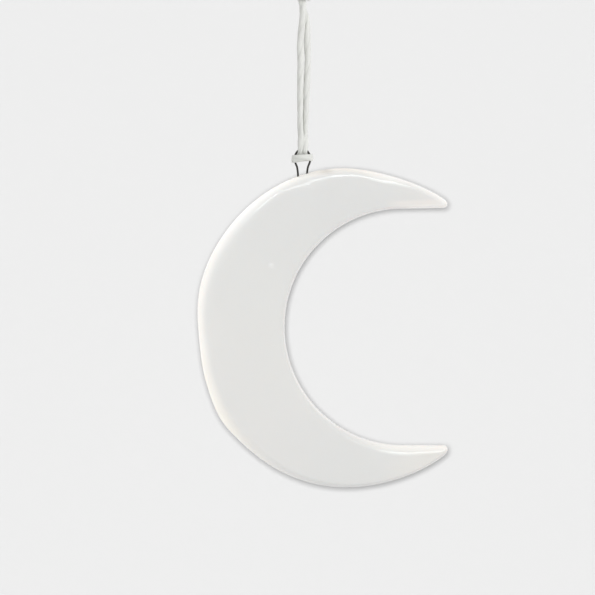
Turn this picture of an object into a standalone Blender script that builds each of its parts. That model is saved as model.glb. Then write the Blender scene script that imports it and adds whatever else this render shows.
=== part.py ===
"""Porcelain moon hanging ornament: a glazed crescent slab, a wire hanger fired into its top edge, and
one cotton cord that is hitched to the wire, tied in a knot and ends in a hanging eye.

All lengths are in metres, +Z is up and the ornament faces -Y. The origin is the underside of the eye's
top, where a hook or a twig carries it.
"""

import math

import bmesh
import bpy
from mathutils import Vector

# Moon slab, measured from the centre of its outer edge
MOON_HEIGHT = 0.09924
BACK_DEPTH = 0.04629
BAND_WIDTH = 0.02736
HORN_REACH = 0.0318
HORN_ROUND = 0.0013
HORN_LEAN = 0.0005
UPPER_HORN_END = 0.00308
LOWER_HORN_END = 0.00327
# Hand-formed swells and hollows of the outer edge: angle and spread in degrees, height in metres
SWELLS = (
    (51, 10.0, 0.00072),
    (76, 12.5, -0.00047),
    (160, 21.0, 0.00053),
    (185, 13.5, -0.00080),
    (217, 9.3, 0.00077),
    (307, 14.5, 0.00050),
)

# Section of the slab: a pillowed front, a flat back with eased edges
SLAB_THICKNESS = 0.0060
FRONT_ROUND = 0.0036
# How wide the front's rounding is: share of the way from the upper horn to the lower one, then the
# outer and the inner width. The inner edge is cut crisp, and eased only on the lower lip.
FRONT_SHOULDERS = (
    (0.00, 0.0024, 0.0008),
    (0.16, 0.0046, 0.0006),
    (0.50, 0.0050, 0.0007),
    (0.66, 0.0040, 0.0012),
    (0.80, 0.0021, 0.0028),
    (0.93, 0.0014, 0.0033),
    (1.00, 0.0014, 0.0022),
)
FRONT_CROWN = 0.00025
BACK_SHOULDER = 0.0022

# Wire hanger
WIRE_DIAMETER = 0.00062
WIRE_CLEARANCE = 0.00015
HANGER_OFFSET = -0.01339
LOOP_RISE = 0.00792
LOOP_WIDTH = 0.00490
LOOP_SHOULDER = 0.0032
NECK_WIDTH = 0.0031
NECK_DROP = 0.0064
LEG_DEPTH = 0.0095
FOOT_LENGTH = 0.0022
FOOT_BEND = 0.0011

# Cord
CORD_DIAMETER = 0.0021
CORD_IN_KNOT = 0.00172
END_GAP = 0.0003
EYE_LENGTH = 0.0300
EYE_WIDTH = 0.0110
KNOT_HALF = 0.00475
STRAND_LENGTH = 0.0391
HITCH_RISE = 0.0053
HITCH_SHIFT = -0.00008

# Mesh fineness
RIBS = 76
HORN_STEPS = (0.35, 0.6, 0.8, 0.93, 0.985)
SHOULDER_STEPS = 5
FLAT_STEPS = 3
FINE = 24

# Heights that follow from the sizes above, from the top down
EYE_BASE_Z = -EYE_LENGTH
KNOT_Z = EYE_BASE_Z - KNOT_HALF
STRAND_TOP_Z = KNOT_Z - KNOT_HALF
STRAND_BASE_Z = STRAND_TOP_Z - STRAND_LENGTH
ARCH_Z = STRAND_BASE_Z - HITCH_RISE

MM = 0.001
CORD_RADIUS = CORD_DIAMETER / 2


def clear_scene():
    """The file starts empty."""
    for obj in list(bpy.data.objects):
        bpy.data.objects.remove(obj)


def collection(name):
    """A collection in the scene."""
    made = bpy.data.collections.new(name)
    bpy.context.scene.collection.children.link(made)
    return made


def material(name, colour, roughness, metallic=0.0):
    """A Principled material with the part's own colour."""
    made = bpy.data.materials.new(name)
    made.use_nodes = True
    shader = made.node_tree.nodes["Principled BSDF"]
    shader.inputs["Base Color"].default_value = (*colour, 1.0)
    shader.inputs["Roughness"].default_value = roughness
    shader.inputs["Metallic"].default_value = metallic
    return made


def spaced(points, steps):
    """The polyline through the points, cut into this many equal lengths."""
    marks = [0.0]
    for first, second in zip(points, points[1:]):
        marks.append(marks[-1] + (second - first).length)
    return [along(points, marks, marks[-1] * i / steps) for i in range(steps + 1)]


def along(points, marks, distance):
    """The point at this distance along the polyline."""
    for i in range(len(points) - 1):
        if marks[i + 1] >= distance:
            share = (distance - marks[i]) / max(marks[i + 1] - marks[i], 1e-12)
            return points[i].lerp(points[i + 1], share)
    return points[-1].copy()


# Moon slab


def outer_radius(angle):
    """Distance from the moon's centre to its outer edge: a circle by the horns, an ellipse at the back,
    and the maker's swells."""
    half = MOON_HEIGHT / 2
    reach = half if math.cos(angle) > 0 else BACK_DEPTH
    radius = reach * half / math.hypot(half * math.cos(angle), reach * math.sin(angle))
    for centre, spread, height in SWELLS:
        off = (math.degrees(angle) - centre + 180) % 360 - 180
        radius += height * math.exp(-((off / spread) ** 2))
    return radius


def outer_edge_angle(x, side):
    """Where round the moon's centre its outer edge is this far across, on the upper (1) or lower (-1) side."""
    angle = side * math.pi / 2
    for _ in range(40):
        angle = side * math.acos(x / outer_radius(angle))
    return angle


def outer_edge_height(x, side):
    """Height of the outer edge there."""
    angle = outer_edge_angle(x, side)
    return outer_radius(angle) * math.sin(angle)


MOON_X = -HANGER_OFFSET + HITCH_SHIFT
MOON_Z = ARCH_Z - LOOP_RISE - outer_edge_height(HANGER_OFFSET, 1)

# The bay is a half circle with straight lips. It leaves the band its width and the horns their ends.
HORN_BASE = HORN_REACH - HORN_ROUND
UPPER_LIP = outer_edge_height(HORN_BASE, 1) - UPPER_HORN_END
LOWER_LIP = outer_edge_height(HORN_BASE, -1) + LOWER_HORN_END
BAY_RADIUS = (UPPER_LIP - LOWER_LIP) / 2
BAY_CENTRE = Vector((BAND_WIDTH - BACK_DEPTH + BAY_RADIUS, 0, (UPPER_LIP + LOWER_LIP) / 2))


def moon_edges():
    """The crescent's outer and inner edges, from the upper horn round to the lower one."""
    first = outer_edge_angle(HORN_BASE, 1)
    sweep = outer_edge_angle(HORN_BASE, -1) + 2 * math.pi - first
    angles = [first + sweep * i / 600 for i in range(601)]
    outer = [Vector((math.cos(a), 0, math.sin(a))) * outer_radius(a) for a in angles]
    turn = [math.radians(90 + 180 * i / 240) for i in range(241)]
    inner = [BAY_CENTRE + Vector((math.cos(a), 0, math.sin(a))) * BAY_RADIUS for a in turn]
    inner.insert(0, Vector((HORN_BASE, 0, UPPER_LIP)))
    inner.append(Vector((HORN_BASE, 0, LOWER_LIP)))
    return outer, inner


def shoulders(share):
    """The outer and the inner width of the front's rounding, this far along the moon."""
    for (first, *near), (last, *far) in zip(FRONT_SHOULDERS, FRONT_SHOULDERS[1:]):
        if share <= last:
            part = (share - first) / (last - first)
            return [a + (b - a) * part for a, b in zip(near, far)]
    return list(FRONT_SHOULDERS[-1][1:])


def half_section(width, widths, depth, crown):
    """Points across one face of the slab: distance from the outer edge, and height over the edge line.
    Where the slab is too narrow for both roundings, they shrink, and the slab thins with them."""
    pinch = min(1.0, 0.88 * width / sum(widths))
    rise = depth * math.sqrt(1 - (1 - pinch) ** 2)
    outer_used, inner_used = (w * pinch for w in widths)
    angles = [math.pi / 2 * i / SHOULDER_STEPS for i in range(1, SHOULDER_STEPS + 1)]
    outer_round = [(outer_used * (1 - math.cos(a)), rise * math.sin(a)) for a in angles]
    inner_round = [(width - inner_used * (1 - math.cos(a)), rise * math.sin(a)) for a in reversed(angles)]
    room = width - outer_used - inner_used
    flat = [(outer_used + room * i / FLAT_STEPS, rise) for i in range(1, FLAT_STEPS)]
    across = outer_round + flat + inner_round
    return [(x, y + crown * (1 - (2 * x / width - 1) ** 2) * y / depth) for x, y in across]


def rib(outer, inner, share):
    """A closed ring of points round the slab, from an outer edge point to an inner edge point."""
    width = (inner - outer).length
    ahead = (inner - outer) / width
    edge_y = FRONT_ROUND - SLAB_THICKNESS / 2
    back_round = SLAB_THICKNESS - FRONT_ROUND
    front = half_section(width, shoulders(share), FRONT_ROUND, FRONT_CROWN)
    back = half_section(width, (BACK_SHOULDER, BACK_SHOULDER), back_round, 0)
    ring = [outer + Vector((0, edge_y, 0))]
    ring += [outer + ahead * x + Vector((0, edge_y - y, 0)) for x, y in front]
    ring.append(inner + Vector((0, edge_y, 0)))
    ring += [outer + ahead * x + Vector((0, edge_y + y, 0)) for x, y in reversed(back)]
    return ring


def horn(outer, inner, share):
    """Rings and the last point that round off a horn, past its last full rib. It leans to the bay."""
    centre = (outer + inner) / 2
    lean = math.copysign(HORN_LEAN, (inner - outer).z)
    rings = []
    for past in HORN_STEPS:
        narrow = (1 - past**3) ** (1 / 3)
        out = centre + Vector((HORN_ROUND * past, 0, lean * past**2))
        rings.append(rib(out + (outer - centre) * narrow, out + (inner - centre) * narrow, share))
    edge_y = FRONT_ROUND - SLAB_THICKNESS / 2
    return rings, centre + Vector((HORN_ROUND, edge_y, lean))


def make_moon(parts):
    """The slab is lofted over ribs that run from its outer edge to its inner edge."""
    outer, inner = moon_edges()
    ribs = list(zip(spaced(outer, RIBS), spaced(inner, RIBS)))
    upper_rings, upper_point = horn(*ribs[0], 0)
    lower_rings, lower_point = horn(*ribs[-1], 1)
    middle_rings = [rib(*pair, i / RIBS) for i, pair in enumerate(ribs)]
    rings = upper_rings[::-1] + middle_rings + lower_rings
    bm = bmesh.new()
    loops = [[bm.verts.new(point) for point in ring] for ring in rings]
    for near, far in zip(loops, loops[1:]):
        for i in range(len(near)):
            j = (i + 1) % len(near)
            bm.faces.new((near[i], near[j], far[j], far[i]))
    for loop, point in ((loops[0], upper_point), (loops[-1], lower_point)):
        end = bm.verts.new(point)
        for i in range(len(loop)):
            bm.faces.new((loop[i], loop[(i + 1) % len(loop)], end))
    bmesh.ops.recalc_face_normals(bm, faces=bm.faces)
    mesh = bpy.data.meshes.new("moon_body")
    bm.to_mesh(mesh)
    bm.free()
    mesh.shade_smooth()
    moon = bpy.data.objects.new("moon_body", mesh)
    moon.location = (MOON_X, 0, MOON_Z)
    parts.objects.link(moon)
    return moon


# Tubes: the wire and the cord


def smooth_route(points):
    """A fine polyline on the smooth curve through the points, which are (x, y, z, radius)."""
    points = [Vector(point) for point in points]
    spans = [(b.xyz - a.xyz).length for a, b in zip(points, points[1:])]
    slopes = [(b - a) / span for a, b, span in zip(points, points[1:], spans)]
    leans = [slopes[0]]
    for near, far, before, after in zip(spans, spans[1:], slopes, slopes[1:]):
        leans.append((before * far + after * near) / (near + far))
    leans.append(slopes[-1])
    fine = []
    for i, span in enumerate(spans):
        for j in range(FINE):
            t = j / FINE
            ends = points[i] * (1 - 3 * t**2 + 2 * t**3) + points[i + 1] * (3 * t**2 - 2 * t**3)
            lean = leans[i] * (t - 2 * t**2 + t**3) + leans[i + 1] * (t**3 - t**2)
            fine.append(ends + lean * span)
    return fine + [points[-1]]


def tube_stations(length, step, rounded, radius):
    """Distances along a tube where it gets a ring, closer together at a rounded end."""
    count = max(2, round(length / step))
    marks = {length * i / count for i in range(count + 1)}
    close = [radius * share for share in (0, 0.08, 0.3, 0.62, 1)]
    for is_round, at in zip(rounded, (lambda s: s, lambda s: length - s)):
        if is_round:
            marks = {m for m in marks if abs(at(m)) > radius * 1.3} | {at(s) for s in close}
    return sorted(marks)


def end_share(distance, radius):
    """How much of a tube's radius is left this far from its rounded end."""
    gone = max(0.0, 1 - distance / radius)
    return max(0.3, math.sqrt(1 - gone**2))


def make_tube(name, points, step, owner, rounded=(False, False)):
    """A tube along a route of (x, y, z, radius) points, as a curve with filled caps."""
    fine = smooth_route(points)
    places = [Vector(point[:3]) for point in fine]
    marks = [0.0]
    for first, second in zip(places, places[1:]):
        marks.append(marks[-1] + (second - first).length)
    full = max(point[3] for point in fine)
    data = bpy.data.curves.new(name, "CURVE")
    data.dimensions = "3D"
    data.bevel_depth = full
    data.bevel_resolution = 2
    data.use_fill_caps = True
    stations = tube_stations(marks[-1], step, rounded, full)
    spline = data.splines.new("POLY")
    spline.points.add(len(stations) - 1)
    for point, distance in zip(spline.points, stations):
        here = along(fine, marks, distance)
        share = here[3] / full
        if rounded[0]:
            share *= end_share(distance, full)
        if rounded[1]:
            share *= end_share(marks[-1] - distance, full)
        point.co = (*here[:3], 1)
        point.radius = share
    spline.use_smooth = True
    tube = bpy.data.objects.new(name, data)
    owner.objects.link(tube)
    return tube


def hanger_side():
    """One side of the wire, from the arch's top down to its foot: (half width, height) pairs."""
    half, neck = LOOP_WIDTH / 2, NECK_WIDTH / 2
    side = []
    for i in range(7):
        angle = math.pi / 2 * i / 6
        side.append((half * math.sin(angle), -LOOP_SHOULDER * (1 - math.cos(angle))))
    for i in range(1, 5):
        share = i / 4
        ease = 0.5 + 0.5 * math.cos(math.pi * share)
        side.append((neck + (half - neck) * ease, -LOOP_SHOULDER - (NECK_DROP - LOOP_SHOULDER) * share))
    foot_z = -LOOP_RISE - LEG_DEPTH
    side.append((neck, foot_z + 3 * FOOT_BEND))
    for i in range(5):
        angle = math.pi / 2 * i / 4
        side.append((neck + FOOT_BEND * (1 - math.cos(angle)), foot_z + FOOT_BEND * (1 - math.sin(angle))))
    side.append((neck + FOOT_LENGTH, foot_z))
    return side


def hanger_route(radius):
    """The whole wire from foot to foot, as a route for a tube of this radius."""
    side = hanger_side()
    left = [(HITCH_SHIFT - x, 0, ARCH_Z + z, radius) for x, z in reversed(side)]
    right = [(HITCH_SHIFT + x, 0, ARCH_Z + z, radius) for x, z in side[1:]]
    return left + right


def mesh_from_curve(curve, name, owner):
    """The curve's tube as a mesh with welded caps, which a Boolean can use."""
    bpy.context.view_layer.update()
    graph = bpy.context.evaluated_depsgraph_get()
    mesh = bpy.data.meshes.new_from_object(curve.evaluated_get(graph))
    bm = bmesh.new()
    bm.from_mesh(mesh)
    bmesh.ops.remove_doubles(bm, verts=bm.verts, dist=1e-6)
    bmesh.ops.recalc_face_normals(bm, faces=bm.faces)
    bm.to_mesh(mesh)
    bm.free()
    made = bpy.data.objects.new(name, mesh)
    made.matrix_world = curve.matrix_world
    owner.objects.link(made)
    bpy.data.objects.remove(curve)
    return made


def make_hanger(parts, cutters, moon):
    """The wire, and the channels that its legs and feet fill in the slab."""
    step = 0.0006
    wire = make_tube("hanger_wire", hanger_route(WIRE_DIAMETER / 2), step, parts)
    channel = make_tube("channel_curve", hanger_route(WIRE_DIAMETER / 2 + WIRE_CLEARANCE), step, cutters)
    cutter = mesh_from_curve(channel, "wire_channel", cutters)
    cutter.hide_render = True
    cutter.display_type = "WIRE"
    cut = moon.modifiers.new("wire channel", "BOOLEAN")
    cut.object = cutter
    return wire


# Cord routes. Each is a list of points chosen by hand in millimetres, with the cord's radius there.

# From the joint over the left strand, through the wire loop, round the left leg, along the bar in
# front, and back the same way on the right. Zero is the top of the wire's arch.
HITCH_POINTS = (
    (-0.82, -0.56, 5.30, 1.03),
    (-0.84, -0.58, 4.30, 1.03),
    (-0.96, -0.90, 2.75, 1.00),
    (-0.94, -1.22, 1.35, 0.94),
    (-0.92, -1.34, 0.35, 0.90),
    (-0.82, -1.20, -0.50, 0.78),
    (-0.70, -0.62, -1.26, 0.66),
    (-0.76, 0.15, -1.66, 0.64),
    (-1.30, 0.86, -2.14, 0.68),
    (-2.28, 1.05, -2.68, 0.60),
    (-3.10, 0.58, -2.98, 0.48),
    (-3.30, -0.18, -3.10, 0.43),
    (-2.94, -0.94, -3.16, 0.62),
    (-1.50, -1.46, -3.05, 0.94),
    (0.00, -1.62, -2.90, 1.00),
    (1.50, -1.46, -2.78, 0.94),
    (2.90, -0.94, -2.68, 0.62),
    (3.26, -0.18, -2.60, 0.43),
    (3.08, 0.58, -2.54, 0.48),
    (2.26, 1.05, -2.40, 0.60),
    (1.30, 0.86, -2.06, 0.68),
    (0.76, 0.15, -1.66, 0.64),
    (0.70, -0.62, -1.26, 0.66),
    (0.86, -1.20, -0.50, 0.78),
    (1.00, -1.32, 0.35, 0.90),
    (1.06, -1.06, 1.35, 0.94),
    (1.16, -0.32, 2.75, 1.00),
    (1.04, 0.48, 4.30, 1.03),
    (0.98, 0.56, 5.30, 1.03),
)

# The two strands, upwards from the joint over the hitch. They lie beside each other, wander a little,
# and end one behind the other under the knot.
LEFT_STRAND_POINTS = (
    (-0.90, -0.56, 0.00, 1.03),
    (-0.92, -0.54, 2.00, 1.05),
    (-1.03, -0.34, 5.00, 1.05),
    (-1.14, -0.10, 9.80, 1.05),
    (-1.12, -0.14, 15.9, 1.05),
    (-0.84, -0.52, 22.2, 1.05),
    (-1.02, -0.26, 28.4, 1.05),
    (-0.26, -0.94, 33.8, 1.05),
    (-0.10, -1.04, 36.4, 1.05),
    (0.00, -1.08, 38.1, 1.05),
    (0.00, -1.08, 39.1, 1.03),
)
RIGHT_STRAND_POINTS = (
    (0.90, 0.56, 0.00, 1.03),
    (0.94, 0.56, 2.00, 1.05),
    (1.12, 0.36, 5.00, 1.05),
    (1.40, 0.12, 9.80, 1.05),
    (1.40, 0.12, 15.9, 1.05),
    (1.46, 0.32, 22.2, 1.05),
    (1.40, 0.14, 28.4, 1.05),
    (1.20, 0.66, 33.8, 1.05),
    (0.62, 1.00, 36.4, 1.05),
    (0.04, 1.10, 38.1, 1.05),
    (0.00, 1.08, 39.1, 1.03),
)

# The knot, about its centre. The left strand rises, turns over and once round itself and the right
# strand, passes below its own start and comes up through the turn. The right strand runs through.
KNOT_IN_POINTS = (
    (0.00, -1.08, -4.75, 1.02),
    (-0.04, -1.07, -4.00, 0.98),
    (-0.50, -0.84, -3.00, 0.90),
    (-0.86, -0.60, -1.80, 0.86),
    (-0.95, -0.55, -0.60, 0.86),
    (-0.96, -0.54, 0.40, 0.85),
    (-0.98, -0.76, 1.18, 0.82),
    (-1.04, -1.32, 1.66, 0.80),
    (-1.02, -2.02, 1.66, 0.82),
    (-0.62, -2.66, 1.44, 0.85),
)
KNOT_OUT_POINTS = (
    (1.34, -2.74, -2.00, 0.86),
    (1.86, -2.30, -2.24, 0.85),
    (2.00, -1.66, -2.42, 0.82),
    (1.70, -1.14, -2.34, 0.80),
    (1.30, -0.80, -1.94, 0.80),
    (1.03, -0.60, -1.34, 0.84),
    (0.95, -0.55, -0.10, 0.86),
    (0.95, -0.54, 1.60, 0.87),
    (1.00, -0.40, 2.90, 0.92),
    (1.08, -0.06, 3.95, 1.00),
    (1.08, 0.00, 4.75, 1.02),
)
KNOT_CORE_POINTS = (
    (0.00, 1.08, -4.75, 1.02),
    (0.00, 1.10, -3.60, 0.98),
    (0.00, 1.12, -2.40, 0.87),
    (0.00, 1.12, 0.80, 0.87),
    (-0.26, 1.04, 2.20, 0.90),
    (-0.78, 0.64, 3.15, 0.96),
    (-1.05, 0.18, 4.00, 1.00),
    (-1.08, 0.02, 4.75, 1.02),
)
# The knot's turn: where it starts and ends round the knot's axis, in degrees, and its heights
TURN_FROM, TURN_TO = 274, 642
TURN_HIGH, TURN_LOW = 1.20, -1.80
TURN_RADIUS = 2.96


def knot_turn():
    """The turn's points: a helix that falls as it goes round the three lengths inside it."""
    points = []
    for i in range(13):
        share = i / 12
        angle = math.radians(TURN_FROM + (TURN_TO - TURN_FROM) * share)
        height = TURN_HIGH + (TURN_LOW - TURN_HIGH) * share
        radius = CORD_IN_KNOT / 2 / MM
        points.append((TURN_RADIUS * math.cos(angle), TURN_RADIUS * math.sin(angle), height, radius))
    return tuple(points)


def placed(points, x, z):
    """Route points in millimetres, moved to their place."""
    return [(x + px * MM, py * MM, z + pz * MM, r * MM) for px, py, pz, r in points]


def shortened(points, start, end):
    """The route with its first or last point drawn back along Z, to leave the gap at a joint."""
    points = [list(point) for point in points]
    up = 1 if points[1][2] > points[0][2] else -1
    points[0][2] += up * start
    up = 1 if points[-1][2] > points[-2][2] else -1
    points[-1][2] -= up * end
    return points


def eye_points():
    """The hanging eye: up from the knot on the left, over the top and down on the right."""
    half = EYE_WIDTH / 2 / MM + CORD_RADIUS / MM
    rise = EYE_LENGTH / MM
    radius = CORD_RADIUS / MM
    side = (
        (1.08, -rise, 1.02),
        (1.10, -rise + 1.4, radius),
        (1.40, -rise + 4.2, radius),
        (half * 0.52, -rise * 0.62, radius),
        (half * 0.92, -rise * 0.36, radius),
        (half, -rise * 0.19, radius),
        (half * 0.74, -rise * 0.045, radius),
    )
    left = [(-x, 0, z, r) for x, z, r in side]
    right = [(x, 0, z, r) for x, z, r in reversed(side)]
    return left + [(0, 0, radius, radius)] + right


def make_cord(parts):
    """The cord in its stretches: eye, knot, two strands and hitch. They meet at the joints."""
    gap = END_GAP / 2
    knot_left = KNOT_IN_POINTS + knot_turn() + KNOT_OUT_POINTS
    both, top = (True, True), (False, True)
    make_tube("cord_eye", shortened(placed(eye_points(), 0, 0), gap, gap), 0.0022, parts, both)
    make_tube("cord_knot_turn", shortened(placed(knot_left, 0, KNOT_Z), gap, gap), 0.0008, parts, both)
    make_tube("cord_knot_core", shortened(placed(KNOT_CORE_POINTS, 0, KNOT_Z), gap, gap), 0.0011, parts, both)
    left = shortened(placed(LEFT_STRAND_POINTS, 0, STRAND_BASE_Z), gap, gap)
    right = shortened(placed(RIGHT_STRAND_POINTS, 0, STRAND_BASE_Z), gap, gap)
    make_tube("cord_strand_left", left, 0.0026, parts, top)
    make_tube("cord_strand_right", right, 0.0026, parts, top)
    hitch = shortened(placed(HITCH_POINTS, HITCH_SHIFT, ARCH_Z), gap, gap)
    make_tube("cord_hitch", hitch, 0.00055, parts)


def colour_parts(parts):
    """Each sub-part's own material."""
    porcelain = material("glazed porcelain", (0.80, 0.79, 0.76), 0.12)
    steel = material("fired wire", (0.075, 0.072, 0.068), 0.45, 0.9)
    cotton = material("cotton cord", (0.74, 0.74, 0.70), 0.9)
    for obj in parts.objects:
        if obj.name == "moon_body":
            obj.data.materials.append(porcelain)
        elif obj.name == "hanger_wire":
            obj.data.materials.append(steel)
        else:
            obj.data.materials.append(cotton)


clear_scene()
parts = collection("porcelain_moon_ornament")
cutters = collection("cutters")
moon = make_moon(parts)
make_hanger(parts, cutters, moon)
make_cord(parts)
colour_parts(parts)
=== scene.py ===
import math

import bpy
import numpy as np
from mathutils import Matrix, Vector


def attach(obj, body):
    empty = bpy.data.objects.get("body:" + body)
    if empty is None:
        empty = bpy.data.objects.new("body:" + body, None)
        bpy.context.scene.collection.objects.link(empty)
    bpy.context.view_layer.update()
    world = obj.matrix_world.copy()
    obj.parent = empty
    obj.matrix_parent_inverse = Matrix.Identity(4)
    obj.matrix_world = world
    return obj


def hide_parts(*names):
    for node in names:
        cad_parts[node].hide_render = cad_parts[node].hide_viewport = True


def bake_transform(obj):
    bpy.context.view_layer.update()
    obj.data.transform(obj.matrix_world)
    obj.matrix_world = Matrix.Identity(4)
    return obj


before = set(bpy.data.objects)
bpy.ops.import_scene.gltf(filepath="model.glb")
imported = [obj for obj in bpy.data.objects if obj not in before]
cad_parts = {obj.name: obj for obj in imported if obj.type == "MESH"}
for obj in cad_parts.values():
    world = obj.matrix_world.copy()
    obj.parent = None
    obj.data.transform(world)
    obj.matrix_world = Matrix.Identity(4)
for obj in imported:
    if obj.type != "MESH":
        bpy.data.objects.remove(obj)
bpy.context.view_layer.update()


# The view
# The ornament hangs in front of a plain pale wall. The camera looks at it squarely, from far enough for
# the moon to show no side, and its frame ends at the foot of the cord's knot.

PICTURE_WIDTH = 0.1847
PICTURE_X = -0.00162
PICTURE_Z = -0.13
CAMERA_DISTANCE = 0.6926
FILM_WIDTH = 36

camera_data = bpy.data.cameras.new("camera")
camera_data.lens = FILM_WIDTH * CAMERA_DISTANCE / PICTURE_WIDTH
camera_data.sensor_width = FILM_WIDTH
camera_data.clip_start = 0.01
camera = bpy.data.objects.new("camera", camera_data)
camera.location = (PICTURE_X, -CAMERA_DISTANCE, PICTURE_Z)
camera.rotation_euler = (math.radians(90), 0, 0)
bpy.context.scene.collection.objects.link(camera)
bpy.context.scene.camera = camera
bpy.context.scene.view_settings.view_transform = "Standard"


# Wall, floor and light
# A matt wall behind, clear of the moon when it swings back, and a floor below the picture. The wall is
# seen only from the front, so that the ornament's back can be looked at.

WALL_Y = 0.14
FLOOR_Z = -0.33
PLANE_SIZE = 3
WALL_PAINT = 0.372
WALL_MIDDLE = (PICTURE_X, WALL_Y, PICTURE_Z)
WALL_LIFT = 1.9
WALL_MOST_LIFT = 1.17
ROOM_BRIGHTNESS = 0.63
LAMP_PLACE = (-0.0033, -0.69, -0.1276)
LAMP_SIZE = 0.0184
LAMP_POWER = 11.2
LIT_MIDDLE = (0, 0, -0.14)


class Shade:
    """An output of a material's nodes. An expression on it adds the Math nodes that it needs."""

    def __init__(self, tree, socket=None):
        self.tree = tree
        self.socket = socket

    def node(self, kind, settings=None, output=0, **inputs):
        """Another node: its settings, then values or links for its sockets. Gives one of its outputs.

        A socket goes by its name, or by i and its number.
        """
        made = self.tree.nodes.new("ShaderNode" + kind)
        for name, value in (settings or {}).items():
            if name == "stops":
                ramp = made.color_ramp.elements
                while len(ramp) < len(value):
                    ramp.new(0.5)
                for stop, (place, colour) in zip(ramp, value):
                    stop.position = place
                    stop.color = (*colour, 1)
            else:
                setattr(made, name, value)
        for name, value in inputs.items():
            numbered = name[1:].isdigit()
            self.join(value, made.inputs[int(name[1:]) if numbered else name.replace("_", " ")])
        return Shade(self.tree, made.outputs[output])

    def join(self, value, socket):
        """Links a value to a socket, or sets it there."""
        if isinstance(value, Shade):
            self.tree.links.new(value.socket, socket)
        else:
            socket.default_value = value

    def maths(self, operation, first, second):
        return self.node("Math", {"operation": operation}, i0=first, i1=second)

    def __add__(self, other):
        return self.maths("ADD", self, other)

    def __radd__(self, other):
        return self.maths("ADD", other, self)

    def __sub__(self, other):
        return self.maths("SUBTRACT", self, other)

    def __rsub__(self, other):
        return self.maths("SUBTRACT", other, self)

    def __mul__(self, other):
        return self.maths("MULTIPLY", self, other)

    def __rmul__(self, other):
        return self.maths("MULTIPLY", other, self)

    def __pow__(self, other):
        return self.maths("POWER", self, other)

    def fade(self, start, end):
        """1 up to start, 0 from end on, smooth between."""
        span = {"interpolation_type": "SMOOTHSTEP"}
        return self.node("MapRange", span, Value=self, From_Min=start, From_Max=end, To_Min=1.0, To_Max=0.0)

    def tint(self, first, second):
        """The first colour where this is 0, the second where it is 1."""
        return self.node("Mix", {"data_type": "RGBA"}, output=2, Factor=self, i6=first, i7=second)


def new_material(name):
    """A material, its shader node, and a Shade to build on."""
    material = bpy.data.materials.new(name)
    material.use_nodes = True
    return material, material.node_tree.nodes["Principled BSDF"], Shade(material.node_tree)


bpy.ops.object.select_all(action="DESELECT")
bpy.ops.mesh.primitive_plane_add(
    size=PLANE_SIZE, location=(0, WALL_Y, FLOOR_Z + PLANE_SIZE / 2), rotation=(math.radians(90), 0, 0)
)
bpy.ops.object.transform_apply()
wall = bpy.context.object
wall.name = "wall"
wall_paint, shader, shade = new_material("wall paint")
tree = wall_paint.node_tree
# A little lighter away from the middle, which makes up for the lamp's fall-off
place = shade.node("TexCoord", output=3)
off_middle = shade.node("VectorMath", {"operation": "DISTANCE"}, output=1, i0=place, i1=WALL_MIDDLE)
lift = 1 + WALL_LIFT * off_middle**2.0
paint = shade.maths("MINIMUM", lift, WALL_MOST_LIFT) * WALL_PAINT
shade.join(paint, shader.inputs["Base Color"])
shader.inputs["Roughness"].default_value = 1.0
shader.inputs["Specular IOR Level"].default_value = 0.0
behind = shade.node("NewGeometry", output=6)
clear = shade.node("BsdfTransparent")
mixed = shade.node("MixShader", i0=behind, i1=Shade(tree, shader.outputs[0]), i2=clear)
tree.links.new(mixed.socket, tree.nodes["Material Output"].inputs["Surface"])
wall.data.materials.append(wall_paint)

bpy.ops.mesh.primitive_plane_add(size=PLANE_SIZE, location=(0, WALL_Y - PLANE_SIZE / 2, FLOOR_Z))
bpy.ops.object.transform_apply()
floor = bpy.context.object
floor.name = "floor"
floor_paint, shader, shade = new_material("floor paint")
shader.inputs["Base Color"].default_value = (0.80, 0.80, 0.80, 1)
shader.inputs["Roughness"].default_value = 1.0
shader.inputs["Specular IOR Level"].default_value = 0.0
floor.data.materials.append(floor_paint)

world = bpy.data.worlds.new("room")
world.use_nodes = True
background = world.node_tree.nodes["Background"]
background.inputs["Color"].default_value = (1, 1, 1, 1)
background.inputs["Strength"].default_value = ROOM_BRIGHTNESS
bpy.context.scene.world = world

# Each light reaches only what is in its collection, and only the ornament blocks it.
lit_pieces = bpy.data.collections.new("pieces without the wall")
lit_cord = bpy.data.collections.new("cord only")
lit_moon = bpy.data.collections.new("moon only")
lit_wall = bpy.data.collections.new("wall only")
lit_floor = bpy.data.collections.new("floor only")
lit_wall.objects.link(wall)
lit_floor.objects.link(floor)


def soft_light(name, place, width, height, brightness, lit):
    """A rectangular softbox that faces the moon, with how bright its face is and what it reaches."""
    data = bpy.data.lights.new(name, "AREA")
    data.shape = "RECTANGLE"
    data.size = width
    data.size_y = height
    data.energy = brightness * width * height * math.pi
    light = bpy.data.objects.new(name, data)
    light.location = place
    aim = Vector(LIT_MIDDLE) - Vector(place)
    light.rotation_euler = aim.to_track_quat("-Z", "Y").to_euler()
    light.light_linking.receiver_collection = lit
    light.light_linking.blocker_collection = lit_pieces
    bpy.context.scene.collection.objects.link(light)
    return light


# Panes above, which show only as reflections: they are the streaks in the glaze.
for name, place, width, height, brightness in (
    ("pane above", (0.10, -0.96, 0.66), 0.40, 0.34, 6.2),
    ("pane above, left", (-0.28, -0.96, 0.66), 0.36, 0.26, 3.2),
    ("pane above, far left", (-0.55, -0.94, 0.58), 0.14, 0.26, 6.0),
    ("pane above, lower", (0.15, -1.08, 0.29), 0.14, 0.34, 3.6),
):
    pane = soft_light(name, place, width, height, brightness, lit_pieces)
    pane.visible_diffuse = False
    pane.data.color = (0.93, 1.0, 0.99)
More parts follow.
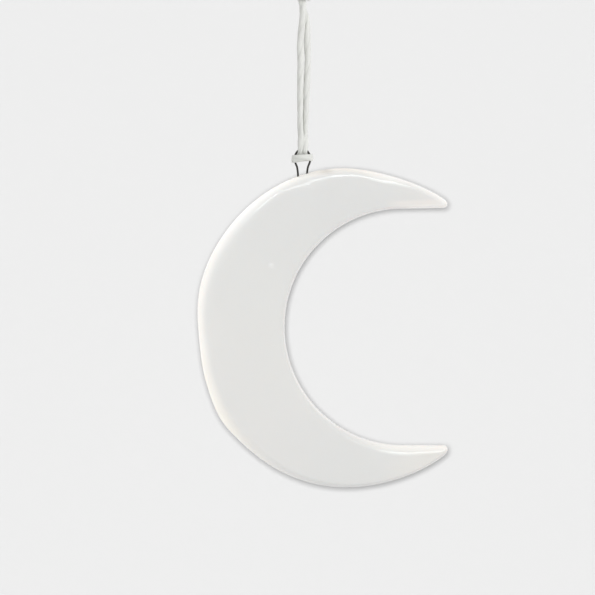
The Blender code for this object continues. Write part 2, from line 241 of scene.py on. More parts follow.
# Wide lights that shape the moon and the cord and don't show in the glaze
for name, place, width, height, brightness, lit in (
    ("light above", (0.0, -0.34, 0.80), 0.90, 0.50, 2.6, lit_moon),
    ("light left", (-1.10, -0.60, -0.22), 0.80, 1.00, 2.6, lit_moon),
    ("light right", (1.15, -0.35, -0.10), 0.60, 1.00, 2.0, lit_moon),
    ("light in front, below", (-0.10, -1.10, -0.75), 1.00, 0.60, 0.26, lit_moon),
    ("light above the floor", (0.0, -1.2, 1.2), 2.0, 2.0, 1.2, lit_floor),
    ("light above the cord", (0.0, -0.96, 0.66), 1.15, 0.20, 4.7, lit_cord),
    ("light right of the cord", (1.10, -0.60, 0.05), 0.60, 1.00, 3.6, lit_cord),
):
    soft_light(name, place, width, height, brightness, lit).visible_glossy = False

# A small lamp beside the camera, which lights the wall. The moon's soft shadow follows its outline.
lamp_data = bpy.data.lights.new("wall lamp", "AREA")
lamp_data.shape = "DISK"
lamp_data.size = LAMP_SIZE
lamp_data.energy = LAMP_POWER
lamp = bpy.data.objects.new("wall lamp", lamp_data)
lamp.location = LAMP_PLACE
lamp.rotation_euler = (math.radians(90), 0, 0)
lamp.light_linking.receiver_collection = lit_wall
lamp.light_linking.blocker_collection = lit_moon
bpy.context.scene.collection.objects.link(lamp)


# Moon
# One slab of white porcelain, cut by hand with a wide rounded outer edge and a crisper inner one, and
# dipped in clear glaze. It was fired flat on its back, which is bare.

MOON_CENTRE = (0.01331, 0, -0.13932)
PIMPLE_PLACE = (-0.0097, -0.0030, -0.1201)
# The moon's sizes below are in millimetres.
MOON_HALF_HEIGHT = 49.62
MOON_BACK_DEPTH = 46.29
# Where the hand-cut edge swells or draws in: its angle, its spread in degrees, and how far
MOON_SWELLS = (
    (51, 10, 0.72), (76, 12.5, -0.47), (160, 21, 0.53),
    (185, 13.5, -0.80), (217, 9.3, 0.77), (307, 14.5, 0.50),
)
BAY_X = 17.78
BAY_Z = 0.21
BAY_RADIUS = 36.71
HORN_REACH = 31.6
HORN_ROUND = 1.3
HORN_POWER = 2.6
UPPER_HORN_RISE = 0.2
EDGE_Y = 0.6
FRONT_RISE = 3.6
BACK_RISE = 2.4
BACK_EASE = 2.2
CROWN = 0.22
CROWN_WIDTH = 12
FRONT_SET_BACK = 0.03
MOON_RIBS = 300
HORN_RIBS = 14


def moon_outer(angle):
    """How far the outer edge is from the moon's centre, in millimetres."""
    reach = MOON_HALF_HEIGHT if math.cos(angle) > 0 else MOON_BACK_DEPTH
    wide, high = MOON_HALF_HEIGHT * math.cos(angle), reach * math.sin(angle)
    radius = reach * MOON_HALF_HEIGHT / math.hypot(wide, high)
    for centre, spread, height in MOON_SWELLS:
        off = (math.degrees(angle) - centre + 180) % 360 - 180
        radius += height * math.exp(-((off / spread) ** 2))
    return radius


def outer_angle(x, side):
    """The angle at which the outer edge is this far across."""
    angle = side * math.pi / 2
    for _ in range(40):
        angle = side * math.acos(x / moon_outer(angle))
    return angle


def even(points, steps):
    """The polyline cut into equal lengths."""
    length = np.concatenate([[0], np.cumsum(np.linalg.norm(np.diff(points, axis=0), axis=1))])
    marks = np.linspace(0, length[-1], steps + 1)
    return np.stack([np.interp(marks, length, points[:, i]) for i in range(points.shape[1])], axis=1)


def moon_edges():
    """The outer and the inner edge, from the upper horn to the lower one, in X and Z."""
    base = HORN_REACH - HORN_ROUND
    first, last = outer_angle(base, 1), outer_angle(base, -1) + 2 * math.pi
    angles = np.linspace(first, last, 1500)
    outer = np.array([(math.cos(a) * moon_outer(a), math.sin(a) * moon_outer(a)) for a in angles])
    turn = np.radians(np.linspace(90, 270, 700))
    inner = np.stack([BAY_X + BAY_RADIUS * np.cos(turn), BAY_Z + BAY_RADIUS * np.sin(turn)], axis=1)
    tips = (base, BAY_Z + BAY_RADIUS + UPPER_HORN_RISE), (base, BAY_Z - BAY_RADIUS)
    inner = np.concatenate([tips[:1], inner, tips[1:]])
    return even(outer, MOON_RIBS), even(inner, MOON_RIBS)


def along_moon(share, marks):
    """A value that changes along the moon, from marks of (share, value)."""
    places, values = zip(*marks)
    return float(np.interp(share, places, values))


# How wide the front's rounding is, from the upper horn over the top and down the left to the lower horn
OUTER_SHOULDER = (
    (0, 2.3), (0.05, 2.3), (0.085, 3.2), (0.10, 4.1), (0.115, 4.1), (0.13, 3.55), (0.16, 4.1), (0.18, 4.3),
    (0.215, 6.0), (0.255, 3.9), (0.28, 4.5), (0.36, 5.2), (0.5, 5.2), (0.65, 4.2), (0.76, 2.4), (0.84, 1.6),
    (0.95, 1.2), (1, 1.4),
)
INNER_SHOULDER = (
    (0, 0.7), (0.15, 0.5), (0.5, 0.6), (0.66, 1.1), (0.76, 1.7), (0.82, 2.3), (0.87, 3.0), (0.93, 3.5),
    (1, 2.2),
)
# How far in the outer edge's warmer tone and painted light reach
RIM_REACH = (
    (0, 3.2), (0.06, 2.2), (0.09, 3.9), (0.115, 3.9), (0.13, 2.4), (0.15, 2.2), (0.18, 3.2), (0.22, 2.6),
    (0.27, 3.2), (0.36, 3.9), (0.5, 2.9), (0.58, 3.8), (0.64, 4.6), (0.68, 3.6), (0.72, 2.6), (0.8, 2.2),
    (1, 1.6),
)


def moon_rib(width, share):
    """One closed rib, front then back: rows of (distance from the outer edge, height) in millimetres."""
    outer_shoulder = along_moon(share, OUTER_SHOULDER)
    inner_shoulder = along_moon(share, INNER_SHOULDER)
    # Where the horn is narrow its roundings are squeezed together, and it grows thinner.
    squeeze = min(1.0, 0.88 * width / (outer_shoulder + inner_shoulder))
    outer_shoulder, inner_shoulder = outer_shoulder * squeeze, inner_shoulder * squeeze
    front = FRONT_RISE * math.sqrt(1 - (1 - squeeze) ** 2)
    ease = min(BACK_EASE, 0.42 * width)
    back = BACK_RISE * math.sqrt(1 - (1 - ease / BACK_EASE) ** 2)
    rib = [(0.0, 0.0)]
    for turn in np.linspace(0, math.pi / 2, 19)[1:]:
        rib.append((outer_shoulder * (1 - math.cos(turn)), -front * math.sin(turn)))
    rib += [(x, -front) for x in np.linspace(outer_shoulder, width - inner_shoulder, 16)[1:-1]]
    for turn in np.linspace(math.pi / 2, 0, 15)[:-1]:
        rib.append((width - inner_shoulder * (1 - math.cos(turn)), -front * math.sin(turn)))
    rib.append((width, 0.0))
    for turn in np.linspace(0, math.pi / 2, 9)[1:]:
        rib.append((width - ease * (1 - math.cos(turn)), back * math.sin(turn)))
    rib += [(x, back) for x in np.linspace(width - ease, ease, 8)[1:-1]]
    for turn in np.linspace(math.pi / 2, 0, 9)[:-1]:
        rib.append((ease * (1 - math.cos(turn)), back * math.sin(turn)))
    return np.array(rib), front


def moon_surface():
    """Places, distances from both edges and shares along the moon, rib by rib."""
    outer, inner = moon_edges()
    ribs = [(o, i, k / MOON_RIBS) for k, (o, i) in enumerate(zip(outer, inner))]
    ends = []
    for (o, i, share), (near_o, near_i, _) in ((ribs[0], ribs[1]), (ribs[-1], ribs[-2])):
        # Each edge runs on in its own direction while the horn rounds off.
        on_o, on_i = (o - near_o) / (o - near_o)[0], (i - near_i) / (i - near_i)[0]
        steps = np.sin(np.linspace(0, math.pi / 2, HORN_RIBS + 1)[1:-1])
        end = []
        rounding = [(step, (1 - step**HORN_POWER) ** (1 / HORN_POWER)) for step in steps] + [(0.9995, 0.02)]
        for step, fullness in rounding:
            far_o, far_i = o + on_o * HORN_ROUND * step, i + on_i * HORN_ROUND * step
            middle, half = (far_o + far_i) / 2, (far_o - far_i) / 2
            end.append((middle + half * fullness, middle - half * fullness, share))
        ends.append(end)
    ribs = ends[0][::-1] + ribs + ends[1]
    places, marks = [], []
    for o, i, share in ribs:
        width = np.linalg.norm(i - o)
        ahead = (i - o) / width
        rib, front = moon_rib(width, share)
        flat = o + np.outer(rib[:, 0], ahead)
        # The front is a little crowned and wavy, more where the moon is wide.
        forward = np.where(rib[:, 1] < 0, -rib[:, 1] / max(front, 1e-6), 0)
        breadth = min(1.0, width / CROWN_WIDTH)
        crown = CROWN * (1 - (2 * rib[:, 0] / width - 1) ** 2) * breadth
        worn = 0.05 * np.sin(flat[:, 0] * 0.21 + 1.3) * np.sin(flat[:, 1] * 0.17 + 0.4)
        worn += 0.03 * np.sin(flat[:, 0] * 0.47 - flat[:, 1] * 0.31)
        y = EDGE_Y + rib[:, 1] - forward * (crown + worn * breadth - FRONT_SET_BACK)
        places.append(np.stack([flat[:, 0], y, flat[:, 1]], axis=1))
        rim = rib[:, 0] / along_moon(share, RIM_REACH)
        marks.append(np.stack([rim, width - rib[:, 0], np.full(len(rib), share)], axis=1))
    return np.array(places), np.array(marks)


def grid_mesh(name, places):
    """Rows of places as an object, each row closed on itself."""
    rows, columns = places.shape[:2]
    bpy.ops.object.select_all(action="DESELECT")
    bpy.ops.mesh.primitive_grid_add(x_subdivisions=columns, y_subdivisions=rows - 1, size=1)
    piece = bpy.context.object
    piece.name = name
    mesh = piece.data
    mesh.name = name
    spread = np.concatenate([places, places[:, :1]], axis=1).reshape(-1, 3)
    mesh.vertices.foreach_set("co", spread.astype(np.float32).reshape(-1))
    mesh.update()
    return piece


def attribute(mesh, name, values):
    """A number at each point of a mesh, for its material."""
    numbers = mesh.attributes.new(name, "FLOAT", "POINT")
    numbers.data.foreach_set("value", values.astype(np.float32).reshape(-1))


def weld_and_face_out(piece, distance):
    """Merges the seam and closes the ends, with all faces outwards."""
    bpy.ops.object.select_all(action="DESELECT")
    piece.select_set(True)
    bpy.context.view_layer.objects.active = piece
    bpy.ops.object.mode_set(mode="EDIT")
    bpy.ops.mesh.select_all(action="SELECT")
    bpy.ops.mesh.remove_doubles(threshold=distance)
    bpy.ops.mesh.select_all(action="DESELECT")
    bpy.ops.mesh.select_mode(type="EDGE")
    bpy.ops.mesh.select_non_manifold()
    bpy.ops.mesh.edge_face_add()
    bpy.ops.mesh.select_all(action="SELECT")
    bpy.ops.mesh.normals_make_consistent(inside=False)
    bpy.ops.object.mode_set(mode="OBJECT")
    bpy.ops.object.shade_smooth_by_angle(angle=math.radians(60))


places, marks = moon_surface()
moon = grid_mesh("moon", places * 0.001 + np.array(MOON_CENTRE))
marks = np.concatenate([marks, marks[:, :1]], axis=1).reshape(-1, 3)
attribute(moon.data, "rim", marks[:, 0])
attribute(moon.data, "from_inner", marks[:, 1])
attribute(moon.data, "around", marks[:, 2])
weld_and_face_out(moon, 1e-6)

glaze, shader, shade = new_material("clear glaze on porcelain")
rim = shade.node("Attribute", {"attribute_name": "rim"}, output=2)
from_inner = shade.node("Attribute", {"attribute_name": "from_inner"}, output=2)
around = shade.node("Attribute", {"attribute_name": "around"}, output=2)
place = shade.node("TexCoord", output=3)
broad = shade.node("TexNoise", Vector=place, Scale=22.0, Detail=2.0, Roughness=0.5)
fine = shade.node("TexNoise", Vector=place, Scale=160.0, Detail=3.0, Roughness=0.6)
towards_back = shade.node("SeparateXYZ", output=1, Vector=place)
# The face is neutral. Where the glaze draws thin over the edges the body shows through, warmer. The edge's
# tone also holds painted light: paler on the upper and left shoulders, a band of painted shade under the top
# shoulder, and painted shade along the lower edge.
rim_tone_and_painted_light = around.node(
    "ValToRGB",
    {"stops": (
        (0.0, (0.93, 0.91, 0.88)),
        (0.09, (0.93, 0.91, 0.88)),
        (0.12, (0.92, 0.88, 0.83)),
        (0.15, (0.865, 0.815, 0.75)),
        (0.165, (0.84, 0.80, 0.75)),
        # A band of painted shade under the top shoulder
        (0.18, (0.65, 0.615, 0.575)),
        (0.195, (0.84, 0.80, 0.75)),
        # Paler round the upper left: painted light on the shoulder
        (0.215, (0.94, 0.92, 0.88)),
        (0.30, (0.965, 0.955, 0.94)),
        (0.40, (0.925, 0.90, 0.865)),
        (0.50, (0.95, 0.92, 0.875)),
        (0.64, (0.93, 0.90, 0.83)),
        (0.70, (0.83, 0.81, 0.77)),
        # Darker round the lower edge: painted shade
        (0.76, (0.77, 0.76, 0.74)),
        (0.85, (0.725, 0.725, 0.715)),
        (0.92, (0.75, 0.745, 0.73)),
        (1.0, (0.86, 0.845, 0.82)),
    )},
    Fac=around,
)
face_tone = around.node(
    "ValToRGB",
    {"stops": (
        (0.0, (0.810, 0.780, 0.762)),
        (0.06, (0.785, 0.777, 0.754)),
        (0.12, (0.762, 0.762, 0.747)),
        (0.20, (0.747, 0.747, 0.736)),
        (0.36, (0.762, 0.762, 0.743)),
        (0.50, (0.773, 0.769, 0.747)),
        (0.68, (0.777, 0.769, 0.750)),
        (0.80, (0.755, 0.755, 0.740)),
        (0.90, (0.769, 0.765, 0.747)),
        (0.97, (0.809, 0.793, 0.750)),
    )},
    Fac=around,
)
tone = (broad.fade(0.35, 0.65) * 0.5).tint(face_tone, (0.745, 0.748, 0.735, 1))
# Near the inner edge under the upper horn the face is pinker and painted paler: painted light against the
# shade of its downward-facing rounding.
pink_and_painted_light = from_inner.fade(1.8, 3.2) * around.fade(0.08, 0.13)
tone = pink_and_painted_light.tint(tone, (0.838, 0.812, 0.781, 1))
# The edge's warm tone and painted light, over the rim's reach
tone = rim.fade(0.1, 1.0).tint(tone, rim_tone_and_painted_light)
# The inner rim is painted paler and warmer, and paler still towards the upper horn's tip: painted light along
# the inner edge.
tone = (from_inner.fade(0.2, 1.0) * 0.6).tint(tone, (0.87, 0.84, 0.82, 1))
tone = (from_inner.fade(0.3, 1.4) * around.fade(0.05, 0.10)).tint(tone, (0.92, 0.89, 0.86, 1))
# Painted light along the lower horn's inner edge, where it faces up: paler and warmer.
painted_light_on_lower_lip = from_inner.fade(0.5, 2.4) * (1 - around.fade(0.78, 0.90))
tone = painted_light_on_lower_lip.tint(tone, (0.90, 0.875, 0.84, 1))
# A pimple under the glaze, with a painted glint: a spot painted paler than the face round it
spot = shade.node("VectorMath", {"operation": "DISTANCE"}, output=1, i0=place, i1=PIMPLE_PLACE)
tone = ((spot * 1000).fade(0.2, 1.3) * 0.65).tint(tone, (0.86, 0.86, 0.84, 1))
glazed = (towards_back * 1000).fade(2.3, 2.95)
tone = glazed.tint((0.80, 0.785, 0.76, 1), tone)
shade.join(tone, shader.inputs["Base Color"])
# It is glossiest along the upper horn and the top, and the bare back is dull.
dullness = 0.07 + fine * 0.05 + (1 - around.fade(0.27, 0.32)) * 0.12
shade.join(glazed * dullness + (1 - glazed) * 0.55, shader.inputs["Roughness"])
pimple = (spot * 1000).fade(0.0, 0.75)
# The slight waves of the surface
waves = shade.node("TexNoise", Vector=place, Scale=420.0, Detail=2.0)
relief = broad * 0.25 + fine * 0.03 + waves * 0.012 + pimple * 0.6
bump = shade.node("Bump", Height=relief, Distance=0.0004, Strength=0.35)
shade.join(bump, shader.inputs["Normal"])
shader.inputs["IOR"].default_value = 1.52
shader.inputs["Subsurface Weight"].default_value = 0.12
shader.inputs["Subsurface Radius"].default_value = (1.0, 0.8, 0.65)
shader.inputs["Subsurface Scale"].default_value = 0.0012
moon.data.materials.append(glaze)
lit_moon.objects.link(moon)
lit_pieces.objects.link(moon)
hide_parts("moon_body")
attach(moon, "moon")


# Hanger
# A loop of thin kiln wire, pushed into the soft clay and fired with it. Its two legs go down into the
# porcelain, and the fire left it dark and dull.

wire_finish, shader, shade = new_material("fired wire")
place = shade.node("TexCoord", output=3)
scale = shade.node("TexNoise", Vector=place, Scale=1400.0, Detail=3.0)
shade.join(scale.tint((0.030, 0.029, 0.028, 1), (0.105, 0.098, 0.090, 1)), shader.inputs["Base Color"])
shade.join(0.38 + scale * 0.25, shader.inputs["Roughness"])
shader.inputs["Metallic"].default_value = 0.7
bump = shade.node("Bump", Height=scale, Distance=0.00003, Strength=0.5)
shade.join(bump, shader.inputs["Normal"])
hanger_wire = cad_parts["hanger_wire"]
hanger_wire.data.materials.clear()
hanger_wire.data.materials.append(wire_finish)
lit_pieces.objects.link(hanger_wire)


# Cord
# One closed loop of soft cotton cord, two plies twisted together. It makes the eye, runs through the
# knot, and is hitched to the wire's loop: over its top, through it, round both legs and back up.

PLIES = 2
PLY_TURN = 15.0
EYE_BASE = -30.0
KNOT_MIDDLE = -34.75
STRAND_BASE = -78.6
ARCH_TOP = -83.9
HITCH_X = -0.08
WIRE_LOOP_HALF = 2.45
WIRE_LOOP_RISE = 3.2
WIRE_LEG_FOOT = -5.5
CUT_IN_KNOT = -31.6
CUT_IN_STRANDS = -62.5
STEPS_A_ROW = 24
RING_STEP = 0.25

# Each row is x, y, z and the cord's half thickness in millimetres, towards what it is pressed on and
# across that.
EYE = (
    (-1.08, 0.00, 0.00, 1.02, 1.05),
    (-1.10, 0.00, 1.40, 1.05, 1.05),
    (-1.40, 0.00, 4.20, 1.05, 1.05),
    (-3.41, 0.00, 11.4, 1.05, 1.05),
    (-6.03, 0.00, 19.2, 1.05, 1.05),
    (-6.55, 0.00, 24.3, 1.05, 1.05),
    (-4.85, 0.00, 28.65, 1.03, 1.05),
    (0.00, 0.00, 31.05, 1.00, 1.05),
    (4.85, 0.00, 28.65, 1.03, 1.05),
    (6.55, 0.00, 24.3, 1.05, 1.05),
    (6.03, 0.00, 19.2, 1.05, 1.05),
    (3.41, 0.00, 11.4, 1.05, 1.05),
    (1.40, 0.00, 4.20, 1.05, 1.05),
    (1.10, 0.00, 1.40, 1.05, 1.05),
)
KNOT_TURN_DOWN = (
    (1.08, 0.00, 4.75, 1.02, 1.05),
    (1.08, -0.06, 3.95, 1.00, 1.05),
    (1.00, -0.40, 2.90, 0.92, 1.00),
    (0.95, -0.54, 1.60, 0.87, 0.95),
    (0.95, -0.55, -0.10, 0.86, 0.95),
    (1.03, -0.60, -1.34, 0.84, 0.95),
    (1.30, -0.80, -1.94, 0.82, 0.95),
    (1.70, -1.14, -2.34, 0.82, 0.95),
    (2.00, -1.66, -2.42, 0.84, 0.95),
    (1.86, -2.30, -2.24, 0.86, 0.97),
    (1.34, -2.74, -2.00, 0.86, 1.00),
)
KNOT_ROUND = tuple(
    (
        2.96 * math.cos(math.radians(642 - 368 * i / 12)),
        2.96 * math.sin(math.radians(642 - 368 * i / 12)),
        -1.80 + 3.00 * i / 12,
        0.88,
        1.04,
    )
    for i in range(13)
)
KNOT_DOWN_LEFT = (
    (-0.62, -2.66, 1.44, 0.86, 1.00),
    (-1.02, -2.02, 1.66, 0.84, 0.95),
    (-1.04, -1.32, 1.66, 0.82, 0.95),
    (-0.98, -0.76, 1.18, 0.82, 0.95),
    (-0.96, -0.54, 0.40, 0.85, 0.95),
    (-0.95, -0.55, -0.60, 0.86, 0.95),
    (-0.86, -0.60, -1.80, 0.86, 0.98),
    (-0.50, -0.84, -3.00, 0.90, 1.00),
    (-0.04, -1.07, -4.00, 0.98, 1.03),
)
STRAND_LEFT = (
    (0.00, -1.08, 39.1, 1.03, 1.05),
    (0.02, -1.08, 38.1, 1.04, 1.05),
    (0.06, -1.04, 36.4, 1.04, 1.05),
    (-0.17, -0.94, 33.8, 1.04, 1.05),
    (-0.66, -0.36, 28.4, 1.10, 1.05),
    (-0.62, -0.42, 22.2, 1.10, 1.05),
    (-0.70, -0.24, 15.9, 1.03, 1.05),
    (-0.74, -0.20, 9.80, 0.98, 1.05),
    (-0.79, -0.34, 5.00, 0.88, 1.05),
    (-0.77, -0.50, 2.00, 0.80, 1.05),
    (-0.68, -0.54, 0.00, 0.76, 1.05),
)
HITCH = (
    (-0.50, -0.60, 4.30, 0.74, 1.05),
    (-0.48, -0.90, 2.75, 0.72, 1.02),
    (-0.50, -1.22, 1.35, 0.72, 1.00),
    (-0.54, -1.34, 0.35, 0.72, 0.94),
    (-0.62, -1.20, -0.50, 0.68, 0.86),
    (-0.70, -0.62, -1.26, 0.66, 0.78),
    (-0.76, 0.15, -1.66, 0.64, 0.80),
    (-1.30, 0.86, -2.14, 0.68, 0.95),
    (-2.28, 1.05, -2.68, 0.60, 1.05),
    (-2.98, 0.58, -2.98, 0.36, 1.12),
    (-3.12, -0.18, -3.10, 0.30, 1.18),
    (-2.84, -0.94, -3.16, 0.52, 1.15),
    (-1.50, -1.46, -3.05, 0.94, 1.10),
    (0.00, -1.62, -2.90, 1.00, 1.08),
    (1.50, -1.46, -2.78, 0.94, 1.10),
    (2.82, -0.94, -2.68, 0.52, 1.15),
    (3.08, -0.18, -2.60, 0.30, 1.18),
    (2.96, 0.58, -2.54, 0.36, 1.12),
    (2.26, 1.05, -2.40, 0.60, 1.05),
    (1.30, 0.86, -2.06, 0.68, 0.95),
    (0.76, 0.15, -1.66, 0.64, 0.80),
    (0.70, -0.62, -1.26, 0.66, 0.78),
    (0.74, -1.20, -0.50, 0.68, 0.86),
    (0.80, -1.30, 0.35, 0.72, 0.94),
    (0.84, -1.04, 1.35, 0.74, 1.00),
    (0.90, -0.32, 2.75, 0.76, 1.04),
    (0.88, 0.48, 4.30, 0.78, 1.05),
)
STRAND_RIGHT = (
    (0.80, 0.56, 0.00, 0.80, 1.05),
    (0.78, 0.56, 2.00, 0.80, 1.05),
    (0.96, 0.36, 5.00, 0.86, 1.05),
    (1.16, 0.12, 9.80, 0.92, 1.05),
    (1.38, 0.12, 15.9, 1.02, 1.05),
    (1.58, 0.32, 22.2, 0.94, 1.05),
    (1.48, 0.14, 28.4, 1.02, 1.05),
    (1.24, 0.66, 33.8, 1.04, 1.05),
    (0.70, 1.00, 36.4, 1.05, 1.05),
    (0.08, 1.10, 38.1, 1.05, 1.05),
    (0.00, 1.08, 39.1, 1.03, 1.05),
)
KNOT_UP = (
    (0.00, 1.10, -3.60, 0.98, 1.03),
    (0.00, 1.12, -2.40, 0.87, 0.98),
    (0.00, 1.12, 0.80, 0.87, 0.98),
    (-0.26, 1.04, 2.20, 0.90, 0.98),
    (-0.78, 0.64, 3.15, 0.96, 1.00),
    (-1.05, 0.18, 4.00, 1.00, 1.04),
)


def raised(rows, height, shift=0.0):
    """Rows moved up and across to their place."""
    return [(x + shift, y, z + height, thin, wide) for x, y, z, thin, wide in rows]


def smooth(rows):
    """A fine polyline on the smooth curve through the rows."""
    rows = np.array(rows)
    spans = np.linalg.norm(np.diff(rows[:, :3], axis=0), axis=1)[:, None]
    slopes = np.diff(rows, axis=0) / spans
    leans = (slopes[:-1] * spans[1:] + slopes[1:] * spans[:-1]) / (spans[:-1] + spans[1:])
    leans = np.concatenate([slopes[:1], leans, slopes[-1:]])
    t = (np.arange(STEPS_A_ROW) / STEPS_A_ROW)[None, :, None]
    first, second, span = rows[:-1, None], rows[1:, None], spans[:, None]
    curve = first * (1 - 3 * t**2 + 2 * t**3) + second * (3 * t**2 - 2 * t**3)
    curve = curve + span * (leans[:-1, None] * (t - 2 * t**2 + t**3) + leans[1:, None] * (t**3 - t**2))
    return np.concatenate([curve.reshape(-1, rows.shape[1]), rows[-1:]])


def cord_loop():
    """The whole cord's middle line, from inside the knot up round the eye and back, evenly spaced."""
    rows = raised(EYE, EYE_BASE)
    rows += raised(KNOT_TURN_DOWN + KNOT_ROUND + KNOT_DOWN_LEFT, KNOT_MIDDLE)
    rows += raised(STRAND_LEFT, STRAND_BASE)
    rows += raised(HITCH, ARCH_TOP, HITCH_X)
    rows += raised(STRAND_RIGHT, STRAND_BASE)
    rows += raised(KNOT_UP, KNOT_MIDDLE)
    # It closes on its first row. The rows on either side keep the curve smooth there.
    rows = rows[-3:] + rows + rows[:4]
    line = smooth(rows)[3 * STEPS_A_ROW:-3 * STEPS_A_ROW]
    line = even(line, round(np.linalg.norm(np.diff(line[:, :3], axis=0), axis=1).sum() / RING_STEP))
    for _ in range(6):
        line[1:-1] = (line[:-2] + 2 * line[1:-1] + line[2:]) / 4
        line[0] = line[-1] = (line[1] + 2 * line[0] + line[-2]) / 4
    return line[:-1]


def turned(vector, axis, angle):
    """A vector turned about a unit axis."""
    side = np.cross(axis, vector)
    return vector * math.cos(angle) + side * math.sin(angle) + axis * axis.dot(vector) * (1 - math.cos(angle))


def frames_along(places):
    """Tangents of a closed line, and a direction across it that doesn't twist."""
    ahead = np.roll(places, -1, axis=0) - np.roll(places, 1, axis=0)
    ahead /= np.linalg.norm(ahead, axis=1)[:, None]
    across = [np.cross(ahead[0], (0, 1, 0))]
    across[0] /= np.linalg.norm(across[0])
    for last, here in zip(np.concatenate([ahead, ahead[:1]]), np.concatenate([ahead[1:], ahead[:1]])):
        side = across[-1] - here * across[-1].dot(here)
        across.append(side / np.linalg.norm(side))
    back = across[-1]
    off = math.atan2(back.dot(np.cross(ahead[0], across[0])), back.dot(across[0]))
    return ahead, np.array(across[:-1]), off


line = cord_loop()
spot_count = len(line)
step = np.linalg.norm(np.roll(line[:, :3], -1, axis=0) - line[:, :3], axis=1)
travelled = np.concatenate([[0], np.cumsum(step)[:-1]])
cord_length = step.sum()
ahead, across, off = frames_along(line[:, :3])
ply_step = 2 * math.pi / PLIES
turns = round((2 * math.pi * cord_length / PLY_TURN + off) / ply_step)
lay = travelled * (turns * ply_step - off) / cord_length


def wire_middle():
    """The middle line of the hanger's loop, which the hitch is pressed on."""
    turns = np.linspace(-math.pi / 2, math.pi / 2, 25)
    rows = [(math.sin(turn) * WIRE_LOOP_HALF, 0, -WIRE_LOOP_RISE * (1 - math.cos(turn))) for turn in turns]
    rows = [(-WIRE_LOOP_HALF, 0, WIRE_LEG_FOOT)] + rows + [(WIRE_LOOP_HALF, 0, WIRE_LEG_FOOT)]
    return even(np.array(rows), 120) + np.array((HITCH_X, 0, ARCH_TOP))


def pressed_towards(place, wire):
    """What the cord is pressed on at a place: the wire near the hitch, else the line that it hangs on."""
    own_line = np.array((0.0, 0.0, place[2]))
    nearest = wire[np.linalg.norm(wire - place, axis=1).argmin()]
    share = min(max((ARCH_TOP + 5.0 - place[2]) / 3.5, 0.0), 1.0)
    return own_line + (nearest - own_line) * share * share * (3 - 2 * share)


CORD_SIDES = 36
PLY_VALLEY = 0.87
PLY_HEIGHT = 0.15
SLACK_REACH = 6


def cord_rings():
    """The cord's surface, ring by ring, with how deep each point lies between the plies."""
    wire = wire_middle()
    angles = np.arange(CORD_SIDES) * 2 * math.pi / CORD_SIDES
    rings, grooves, fibres = [], [], []
    for k in range(spot_count):
        place, thin, wide = line[k, :3], line[k, 3], line[k, 4]
        side = np.cross(ahead[k], across[k])
        inward = pressed_towards(place, wire) - place
        press = math.atan2(inward.dot(side), inward.dot(across[k]))
        pressed, free = wide * np.cos(angles - press), thin * np.sin(angles - press)
        oval = thin * wide / np.sqrt(pressed**2 + free**2)
        own = angles - lay[k]
        ply = np.abs(np.cos(PLIES / 2 * own))
        lobe = PLY_VALLEY + PLY_HEIGHT * (1 - (1 - ply) ** 2.2)
        # Slightly uneven in thickness, but not where the loop closes on itself
        from_join = min(travelled[k], cord_length - travelled[k], SLACK_REACH) / SLACK_REACH
        uneven = 0.02 * math.sin(travelled[k] * 1.3) + 0.025 * math.sin(travelled[k] * 0.47 + 1)
        slack = 1 + from_join * uneven
        radius = oval * lobe * slack
        arms = np.outer(np.cos(angles), across[k]) + np.outer(np.sin(angles), side)
        rings.append(place + arms * radius[:, None])
        grooves.append(1 - ply)
        fibres.append(np.stack([np.cos(own), np.sin(own), np.full(CORD_SIDES, travelled[k])], axis=1))
    return np.array(rings), np.array(grooves), np.array(fibres)


rings, grooves, fibres = cord_rings()

cotton, shader, shade = new_material("twisted cotton")
groove = shade.node("Attribute", {"attribute_name": "groove"}, output=2)
yarn = shade.node("Attribute", {"attribute_name": "yarn"}, output=1)
stretched = shade.node("Mapping", Vector=yarn, Scale=(5.0, 5.0, 0.55))
hairs = shade.node("TexNoise", Vector=stretched, Scale=1.6, Detail=4.0, Roughness=0.65)
slubs = shade.node("TexNoise", Vector=yarn, Scale=0.35, Detail=1.0)
tone = hairs.tint((0.70, 0.71, 0.675, 1), (0.84, 0.845, 0.815, 1))
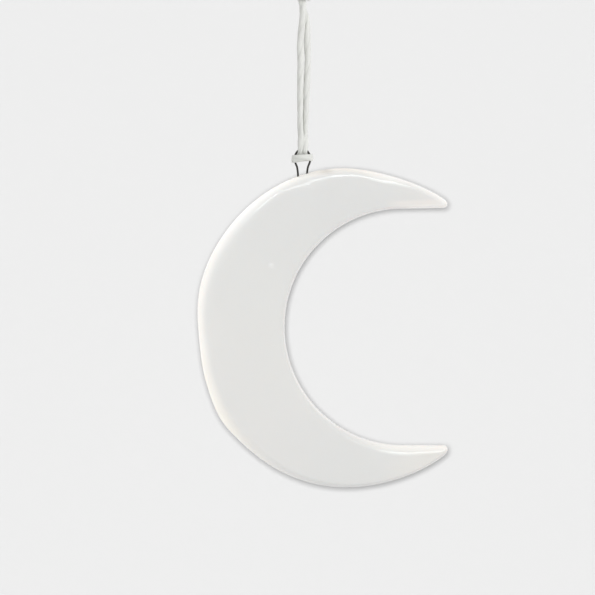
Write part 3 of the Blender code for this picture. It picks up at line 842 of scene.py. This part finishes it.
# Painted shade darkens the grooves between the plies.
tone = (groove**3.0 * 0.30).tint(tone, (0.50, 0.51, 0.46, 1))
tone = (slubs * 0.25).tint(tone, (0.84, 0.84, 0.80, 1))
shade.join(tone, shader.inputs["Base Color"])
bump = shade.node("Bump", Height=hairs, Distance=0.0003, Strength=0.6)
shade.join(bump, shader.inputs["Normal"])
shader.inputs["Roughness"].default_value = 0.92
shader.inputs["Specular IOR Level"].default_value = 0.2
shader.inputs["Sheen Weight"].default_value = 0.25
shader.inputs["Sheen Roughness"].default_value = 0.5


def cord_piece(name, first, last):
    """The stretch of the cord between two rings, as a closed tube."""
    picked = np.arange(first, last + 1) % spot_count
    piece = grid_mesh(name, rings[picked] * 0.001)
    mesh = piece.data
    attribute(mesh, "groove", np.concatenate([grooves[picked], grooves[picked][:, :1]], axis=1))
    own = np.concatenate([fibres[picked], fibres[picked][:, :1]], axis=1)
    yarn_places = mesh.attributes.new("yarn", "FLOAT_VECTOR", "POINT")
    yarn_places.data.foreach_set("vector", own.astype(np.float32).reshape(-1))
    weld_and_face_out(piece, 1e-7)
    mesh.materials.append(cotton)
    lit_cord.objects.link(piece)
    lit_pieces.objects.link(piece)
    return piece, [tuple(point * 0.001) for point in line[picked, :3]]


def crossing(height, start, rising):
    """The first ring from start on where the cord passes a height."""
    for k in range(start, start + spot_count):
        low, high = line[k % spot_count, 2], line[(k + 1) % spot_count, 2]
        if (low < height <= high) if rising else (high <= height < low):
            return k


eye_end = crossing(CUT_IN_KNOT, 0, False)
left_cut = crossing(CUT_IN_STRANDS, eye_end, False)
right_cut = crossing(CUT_IN_STRANDS, left_cut, True)
eye_start = crossing(CUT_IN_KNOT, right_cut, True)


eye, path = cord_piece("hanging_eye", eye_start - spot_count, eye_end)
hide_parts("cord_eye")
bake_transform(eye)

turn_strand, path = cord_piece("knot_turn_and_left_strand", eye_end, left_cut)
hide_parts("cord_knot_turn", "cord_strand_left")
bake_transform(turn_strand)

hitched, path = cord_piece("hitch_and_lower_strands", left_cut, right_cut)
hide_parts("cord_hitch")
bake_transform(hitched)

through_strand, path = cord_piece("right_strand_through_knot", right_cut, eye_start)
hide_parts("cord_strand_right", "cord_knot_core")
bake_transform(through_strand)
